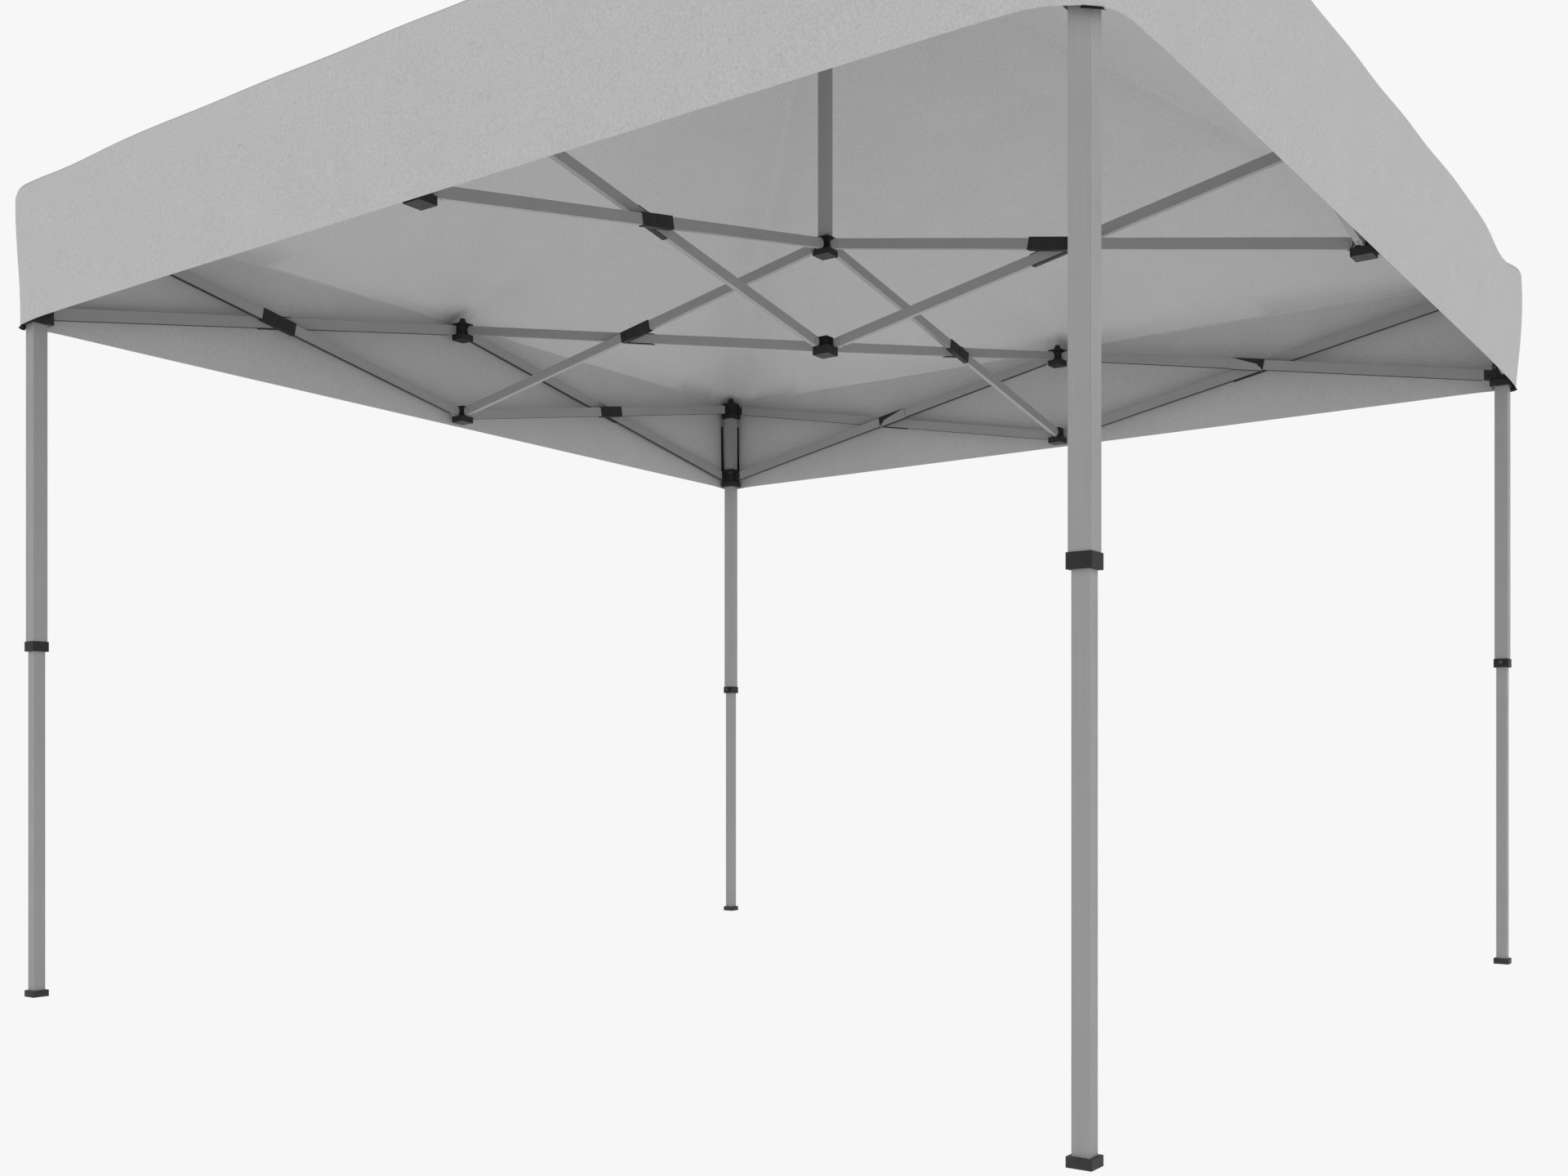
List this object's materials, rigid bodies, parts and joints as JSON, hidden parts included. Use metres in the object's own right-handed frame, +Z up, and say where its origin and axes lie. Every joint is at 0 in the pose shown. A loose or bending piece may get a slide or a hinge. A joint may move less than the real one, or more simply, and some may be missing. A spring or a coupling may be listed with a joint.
{
  "type": "pop up canopy",
  "caption": "Folding pop up canopy: a scissor-braced metal frame on telescopic square legs under a pyramid fabric roof with a straight valance.",
  "frame": {"origin": "floor level at the centre of the plan, midway between the four legs", "axes": "+Z up, +X and +Y along the sides of the square plan"},
  "size_m": [3.14, 3.14, 3.037],
  "materials": {
    "fabric": "matte",
    "leg_metal": "satin",
    "bar_metal": "satin",
    "black_plastic": "matte"
  },
  "bodies": {
    "canopy_top": {"hub_upper": "black_plastic", "king_post": "leg_metal", "canopy": "fabric"},
    "lower_hub": {"hub_lower": "black_plastic"},
    "arm_e_hi": {"arm_e_hi": "bar_metal"},
    "arm_e_lo": {"arm_e_lo": "bar_metal"},
    "mid_e_up": {"mid_e_up": "black_plastic"},
    "mid_e_low": {"mid_e_low": "black_plastic"},
    "arm_n_hi": {"arm_n_hi": "bar_metal"},
    "arm_n_lo": {"arm_n_lo": "bar_metal"},
    "mid_n_up": {"mid_n_up": "black_plastic"},
    "mid_n_low": {"mid_n_low": "black_plastic"},
    "arm_w_hi": {"arm_w_hi": "bar_metal"},
    "arm_w_lo": {"arm_w_lo": "bar_metal"},
    "mid_w_up": {"mid_w_up": "black_plastic"},
    "mid_w_low": {"mid_w_low": "black_plastic"},
    "arm_s_hi": {"arm_s_hi": "bar_metal"},
    "arm_s_lo": {"arm_s_lo": "bar_metal"},
    "mid_s_up": {"mid_s_up": "black_plastic"},
    "mid_s_low": {"mid_s_low": "black_plastic"},
    "side_e_se_b": {"side_e_se_b": "bar_metal"},
    "side_e_se_a": {"side_e_se_a": "bar_metal"},
    "side_e_ne_b": {"side_e_ne_b": "bar_metal"},
    "side_e_ne_a": {"side_e_ne_a": "bar_metal"},
    "leg_ne": {"leg_upper_ne": "leg_metal", "leg_bracket_ne": "black_plastic"},
    "slider_ne": {"slider_ne": "black_plastic"},
    "side_n_ne_b": {"side_n_ne_b": "bar_metal"},
    "side_n_ne_a": {"side_n_ne_a": "bar_metal"},
    "side_n_nw_b": {"side_n_nw_b": "bar_metal"},
    "side_n_nw_a": {"side_n_nw_a": "bar_metal"},
    "leg_nw": {"leg_upper_nw": "leg_metal", "leg_bracket_nw": "black_plastic"},
    "slider_nw": {"slider_nw": "black_plastic"},
    "side_w_nw_b": {"side_w_nw_b": "bar_metal"},
    "side_w_nw_a": {"side_w_nw_a": "bar_metal"},
    "side_w_sw_b": {"side_w_sw_b": "bar_metal"},
    "side_w_sw_a": {"side_w_sw_a": "bar_metal"},
    "leg_sw": {"leg_upper_sw": "leg_metal", "leg_bracket_sw": "black_plastic"},
    "slider_sw": {"slider_sw": "black_plastic"},
    "side_s_sw_b": {"side_s_sw_b": "bar_metal"},
    "side_s_sw_a": {"side_s_sw_a": "bar_metal"},
    "side_s_se_b": {"side_s_se_b": "bar_metal"},
    "side_s_se_a": {"side_s_se_a": "bar_metal"},
    "leg_se": {"leg_upper_se": "leg_metal", "leg_bracket_se": "black_plastic"},
    "slider_se": {"slider_se": "black_plastic"},
    "leg_lower_se": {"leg_lower_se": "leg_metal"},
    "slider_button_se": {"slider_button_se": "black_plastic"},
    "leg_button_se": {"leg_button_se": "black_plastic"},
    "leg_lower_ne": {"leg_lower_ne": "leg_metal"},
    "slider_button_ne": {"slider_button_ne": "black_plastic"},
    "leg_button_ne": {"leg_button_ne": "black_plastic"},
    "leg_lower_nw": {"leg_lower_nw": "leg_metal"},
    "slider_button_nw": {"slider_button_nw": "black_plastic"},
    "leg_button_nw": {"leg_button_nw": "black_plastic"},
    "leg_lower_sw": {"leg_lower_sw": "leg_metal"},
    "slider_button_sw": {"slider_button_sw": "black_plastic"},
    "leg_button_sw": {"leg_button_sw": "black_plastic"}
  },
  "joints": [
    {"name": "fold", "type": "hinge", "parent": "canopy_top", "child": "arm_e_hi", "pos_m": [0.042, 0, 2.092], "axis": [0, 1, 0], "range_deg": [0, 39]},
    {"name": "arm_n_hi_turn", "type": "hinge", "parent": "canopy_top", "child": "arm_n_hi", "pos_m": [0, 0.042, 2.092], "axis": [-1, 0, 0], "range_deg": [0, 39]},
    {"name": "arm_w_hi_turn", "type": "hinge", "parent": "canopy_top", "child": "arm_w_hi", "pos_m": [-0.042, 0, 2.092], "axis": [0, -1, 0], "range_deg": [0, 39]},
    {"name": "arm_s_hi_turn", "type": "hinge", "parent": "canopy_top", "child": "arm_s_hi", "pos_m": [0, -0.042, 2.092], "axis": [1, 0, 0], "range_deg": [0, 39]},
    {"name": "arm_e_cross", "type": "hinge", "parent": "arm_e_hi", "child": "arm_e_lo", "pos_m": [0.753, 0, 1.954], "axis": [0, 1, 0], "range_deg": [-78, 0]},
    {"name": "mid_e_low_turn", "type": "hinge", "parent": "arm_e_hi", "child": "mid_e_low", "pos_m": [1.464, 0, 1.816], "axis": [0, 1, 0], "range_deg": [-39, 0]},
    {"name": "mid_e_up_turn", "type": "hinge", "parent": "arm_e_lo", "child": "mid_e_up", "pos_m": [1.464, 0, 2.092], "axis": [0, 1, 0], "range_deg": [0, 39]},
    {"name": "lower_hub_turn", "type": "hinge", "parent": "arm_e_lo", "child": "lower_hub", "pos_m": [0.042, 0, 1.816], "axis": [0, 1, 0], "range_deg": [0, 39]},
    {"name": "side_e_se_b_turn", "type": "hinge", "parent": "mid_e_up", "child": "side_e_se_b", "pos_m": [1.5, -0.036, 2.092], "axis": [1, 0, 0], "range_deg": [0, 39]},
    {"name": "side_e_se_cross", "type": "hinge", "parent": "side_e_se_b", "child": "side_e_se_a", "pos_m": [1.5, -0.747, 1.954], "axis": [1, 0, 0], "range_deg": [-78, 0]},
    {"name": "side_e_ne_b_turn", "type": "hinge", "parent": "mid_e_up", "child": "side_e_ne_b", "pos_m": [1.5, 0.036, 2.092], "axis": [-1, 0, 0], "range_deg": [0, 39]},
    {"name": "side_e_ne_cross", "type": "hinge", "parent": "side_e_ne_b", "child": "side_e_ne_a", "pos_m": [1.5, 0.747, 1.954], "axis": [-1, 0, 0], "range_deg": [-78, 0]},
    {"name": "leg_ne_turn", "type": "hinge", "parent": "side_e_ne_a", "child": "leg_ne", "pos_m": [1.5, 1.458, 2.092], "axis": [-1, 0, 0], "range_deg": [0, 39]},
    {"name": "slider_ne_turn", "type": "hinge", "parent": "side_e_ne_b", "child": "slider_ne", "pos_m": [1.5, 1.458, 1.816], "axis": [-1, 0, 0], "range_deg": [-39, 0]},
    {"name": "arm_n_cross", "type": "hinge", "parent": "arm_n_hi", "child": "arm_n_lo", "pos_m": [0, 0.753, 1.954], "axis": [-1, 0, 0], "range_deg": [-78, 0]},
    {"name": "mid_n_low_turn", "type": "hinge", "parent": "arm_n_hi", "child": "mid_n_low", "pos_m": [0, 1.464, 1.816], "axis": [-1, 0, 0], "range_deg": [-39, 0]},
    {"name": "mid_n_up_turn", "type": "hinge", "parent": "arm_n_lo", "child": "mid_n_up", "pos_m": [0, 1.464, 2.092], "axis": [-1, 0, 0], "range_deg": [0, 39]},
    {"name": "side_n_ne_b_turn", "type": "hinge", "parent": "mid_n_up", "child": "side_n_ne_b", "pos_m": [0.036, 1.5, 2.092], "axis": [0, 1, 0], "range_deg": [0, 39]},
    {"name": "side_n_ne_cross", "type": "hinge", "parent": "side_n_ne_b", "child": "side_n_ne_a", "pos_m": [0.747, 1.5, 1.954], "axis": [0, 1, 0], "range_deg": [-78, 0]},
    {"name": "side_n_nw_b_turn", "type": "hinge", "parent": "mid_n_up", "child": "side_n_nw_b", "pos_m": [-0.036, 1.5, 2.092], "axis": [0, -1, 0], "range_deg": [0, 39]},
    {"name": "side_n_nw_cross", "type": "hinge", "parent": "side_n_nw_b", "child": "side_n_nw_a", "pos_m": [-0.747, 1.5, 1.954], "axis": [0, -1, 0], "range_deg": [-78, 0]},
    {"name": "leg_nw_turn", "type": "hinge", "parent": "side_n_nw_a", "child": "leg_nw", "pos_m": [-1.458, 1.5, 2.092], "axis": [0, -1, 0], "range_deg": [0, 39]},
    {"name": "slider_nw_turn", "type": "hinge", "parent": "side_n_nw_b", "child": "slider_nw", "pos_m": [-1.458, 1.5, 1.816], "axis": [0, -1, 0], "range_deg": [-39, 0]},
    {"name": "arm_w_cross", "type": "hinge", "parent": "arm_w_hi", "child": "arm_w_lo", "pos_m": [-0.753, 0, 1.954], "axis": [0, -1, 0], "range_deg": [-78, 0]},
    {"name": "mid_w_low_turn", "type": "hinge", "parent": "arm_w_hi", "child": "mid_w_low", "pos_m": [-1.464, 0, 1.816], "axis": [0, -1, 0], "range_deg": [-39, 0]},
    {"name": "mid_w_up_turn", "type": "hinge", "parent": "arm_w_lo", "child": "mid_w_up", "pos_m": [-1.464, 0, 2.092], "axis": [0, -1, 0], "range_deg": [0, 39]},
    {"name": "side_w_nw_b_turn", "type": "hinge", "parent": "mid_w_up", "child": "side_w_nw_b", "pos_m": [-1.5, 0.036, 2.092], "axis": [-1, 0, 0], "range_deg": [0, 39]},
    {"name": "side_w_nw_cross", "type": "hinge", "parent": "side_w_nw_b", "child": "side_w_nw_a", "pos_m": [-1.5, 0.747, 1.954], "axis": [-1, 0, 0], "range_deg": [-78, 0]},
    {"name": "side_w_sw_b_turn", "type": "hinge", "parent": "mid_w_up", "child": "side_w_sw_b", "pos_m": [-1.5, -0.036, 2.092], "axis": [1, 0, 0], "range_deg": [0, 39]},
    {"name": "side_w_sw_cross", "type": "hinge", "parent": "side_w_sw_b", "child": "side_w_sw_a", "pos_m": [-1.5, -0.747, 1.954], "axis": [1, 0, 0], "range_deg": [-78, 0]},
    {"name": "leg_sw_turn", "type": "hinge", "parent": "side_w_sw_a", "child": "leg_sw", "pos_m": [-1.5, -1.458, 2.092], "axis": [1, 0, 0], "range_deg": [0, 39]},
    {"name": "slider_sw_turn", "type": "hinge", "parent": "side_w_sw_b", "child": "slider_sw", "pos_m": [-1.5, -1.458, 1.816], "axis": [1, 0, 0], "range_deg": [-39, 0]},
    {"name": "arm_s_cross", "type": "hinge", "parent": "arm_s_hi", "child": "arm_s_lo", "pos_m": [0, -0.753, 1.954], "axis": [1, 0, 0], "range_deg": [-78, 0]},
    {"name": "mid_s_low_turn", "type": "hinge", "parent": "arm_s_hi", "child": "mid_s_low", "pos_m": [0, -1.464, 1.816], "axis": [1, 0, 0], "range_deg": [-39, 0]},
    {"name": "mid_s_up_turn", "type": "hinge", "parent": "arm_s_lo", "child": "mid_s_up", "pos_m": [0, -1.464, 2.092], "axis": [1, 0, 0], "range_deg": [0, 39]},
    {"name": "side_s_sw_b_turn", "type": "hinge", "parent": "mid_s_up", "child": "side_s_sw_b", "pos_m": [-0.036, -1.5, 2.092], "axis": [0, -1, 0], "range_deg": [0, 39]},
    {"name": "side_s_sw_cross", "type": "hinge", "parent": "side_s_sw_b", "child": "side_s_sw_a", "pos_m": [-0.747, -1.5, 1.954], "axis": [0, -1, 0], "range_deg": [-78, 0]},
    {"name": "side_s_se_b_turn", "type": "hinge", "parent": "mid_s_up", "child": "side_s_se_b", "pos_m": [0.036, -1.5, 2.092], "axis": [0, 1, 0], "range_deg": [0, 39]},
    {"name": "side_s_se_cross", "type": "hinge", "parent": "side_s_se_b", "child": "side_s_se_a", "pos_m": [0.747, -1.5, 1.954], "axis": [0, 1, 0], "range_deg": [-78, 0]},
    {"name": "leg_se_turn", "type": "hinge", "parent": "side_s_se_a", "child": "leg_se", "pos_m": [1.458, -1.5, 2.092], "axis": [0, 1, 0], "range_deg": [0, 39]},
    {"name": "slider_se_turn", "type": "hinge", "parent": "side_s_se_b", "child": "slider_se", "pos_m": [1.458, -1.5, 1.816], "axis": [0, 1, 0], "range_deg": [-39, 0]},
    {"name": "leg_se_telescope", "type": "slide", "parent": "leg_se", "child": "leg_lower_se", "axis": [0, 0, 1], "range_m": [0, 0.86]},
    {"name": "slider_se_button", "type": "slide", "parent": "slider_se", "child": "slider_button_se", "axis": [0, -1, 0], "range_m": [0, 0.0025], "stiffness_N_per_m": 400, "springref_m": -0.001},
    {"name": "leg_se_button", "type": "slide", "parent": "leg_se", "child": "leg_button_se", "axis": [0, -1, 0], "range_m": [0, 0.0024], "stiffness_N_per_m": 400, "springref_m": -0.001},
    {"name": "leg_ne_telescope", "type": "slide", "parent": "leg_ne", "child": "leg_lower_ne", "axis": [0, 0, 1], "range_m": [0, 0.86]},
    {"name": "slider_ne_button", "type": "slide", "parent": "slider_ne", "child": "slider_button_ne", "axis": [0, 1, 0], "range_m": [0, 0.0025], "stiffness_N_per_m": 400, "springref_m": -0.001},
    {"name": "leg_ne_button", "type": "slide", "parent": "leg_ne", "child": "leg_button_ne", "axis": [0, 1, 0], "range_m": [0, 0.0024], "stiffness_N_per_m": 400, "springref_m": -0.001},
    {"name": "leg_nw_telescope", "type": "slide", "parent": "leg_nw", "child": "leg_lower_nw", "axis": [0, 0, 1], "range_m": [0, 0.86]},
    {"name": "slider_nw_button", "type": "slide", "parent": "slider_nw", "child": "slider_button_nw", "axis": [0, 1, 0], "range_m": [0, 0.0025], "stiffness_N_per_m": 400, "springref_m": -0.001},
    {"name": "leg_nw_button", "type": "slide", "parent": "leg_nw", "child": "leg_button_nw", "axis": [0, 1, 0], "range_m": [0, 0.0024], "stiffness_N_per_m": 400, "springref_m": -0.001},
    {"name": "leg_sw_telescope", "type": "slide", "parent": "leg_sw", "child": "leg_lower_sw", "axis": [0, 0, 1], "range_m": [0, 0.86]},
    {"name": "slider_sw_button", "type": "slide", "parent": "slider_sw", "child": "slider_button_sw", "axis": [0, -1, 0], "range_m": [0, 0.0025], "stiffness_N_per_m": 400, "springref_m": -0.001},
    {"name": "leg_sw_button", "type": "slide", "parent": "leg_sw", "child": "leg_button_sw", "axis": [0, -1, 0], "range_m": [0, 0.0024], "stiffness_N_per_m": 400, "springref_m": -0.001}
  ],
  "couplings": [
    {"joint": "arm_n_hi_turn", "follows": "fold", "ratio": 1},
    {"joint": "arm_w_hi_turn", "follows": "fold", "ratio": 1},
    {"joint": "arm_s_hi_turn", "follows": "fold", "ratio": 1},
    {"joint": "arm_e_cross", "follows": "fold", "ratio": -2},
    {"joint": "mid_e_low_turn", "follows": "fold", "ratio": -1},
    {"joint": "mid_e_up_turn", "follows": "fold", "ratio": 1},
    {"joint": "lower_hub_turn", "follows": "fold", "ratio": 1},
    {"joint": "side_e_se_b_turn", "follows": "fold", "ratio": 1},
    {"joint": "side_e_se_cross", "follows": "fold", "ratio": -2},
    {"joint": "side_e_ne_b_turn", "follows": "fold", "ratio": 1},
    {"joint": "side_e_ne_cross", "follows": "fold", "ratio": -2},
    {"joint": "leg_ne_turn", "follows": "fold", "ratio": 1},
    {"joint": "slider_ne_turn", "follows": "fold", "ratio": -1},
    {"joint": "arm_n_cross", "follows": "fold", "ratio": -2},
    {"joint": "mid_n_low_turn", "follows": "fold", "ratio": -1},
    {"joint": "mid_n_up_turn", "follows": "fold", "ratio": 1},
    {"joint": "side_n_ne_b_turn", "follows": "fold", "ratio": 1},
    {"joint": "side_n_ne_cross", "follows": "fold", "ratio": -2},
    {"joint": "side_n_nw_b_turn", "follows": "fold", "ratio": 1},
    {"joint": "side_n_nw_cross", "follows": "fold", "ratio": -2},
    {"joint": "leg_nw_turn", "follows": "fold", "ratio": 1},
    {"joint": "slider_nw_turn", "follows": "fold", "ratio": -1},
    {"joint": "arm_w_cross", "follows": "fold", "ratio": -2},
    {"joint": "mid_w_low_turn", "follows": "fold", "ratio": -1},
    {"joint": "mid_w_up_turn", "follows": "fold", "ratio": 1},
    {"joint": "side_w_nw_b_turn", "follows": "fold", "ratio": 1},
    {"joint": "side_w_nw_cross", "follows": "fold", "ratio": -2},
    {"joint": "side_w_sw_b_turn", "follows": "fold", "ratio": 1},
    {"joint": "side_w_sw_cross", "follows": "fold", "ratio": -2},
    {"joint": "leg_sw_turn", "follows": "fold", "ratio": 1},
    {"joint": "slider_sw_turn", "follows": "fold", "ratio": -1},
    {"joint": "arm_s_cross", "follows": "fold", "ratio": -2},
    {"joint": "mid_s_low_turn", "follows": "fold", "ratio": -1},
    {"joint": "mid_s_up_turn", "follows": "fold", "ratio": 1},
    {"joint": "side_s_sw_b_turn", "follows": "fold", "ratio": 1},
    {"joint": "side_s_sw_cross", "follows": "fold", "ratio": -2},
    {"joint": "side_s_se_b_turn", "follows": "fold", "ratio": 1},
    {"joint": "side_s_se_cross", "follows": "fold", "ratio": -2},
    {"joint": "leg_se_turn", "follows": "fold", "ratio": 1},
    {"joint": "slider_se_turn", "follows": "fold", "ratio": -1}
  ]
}
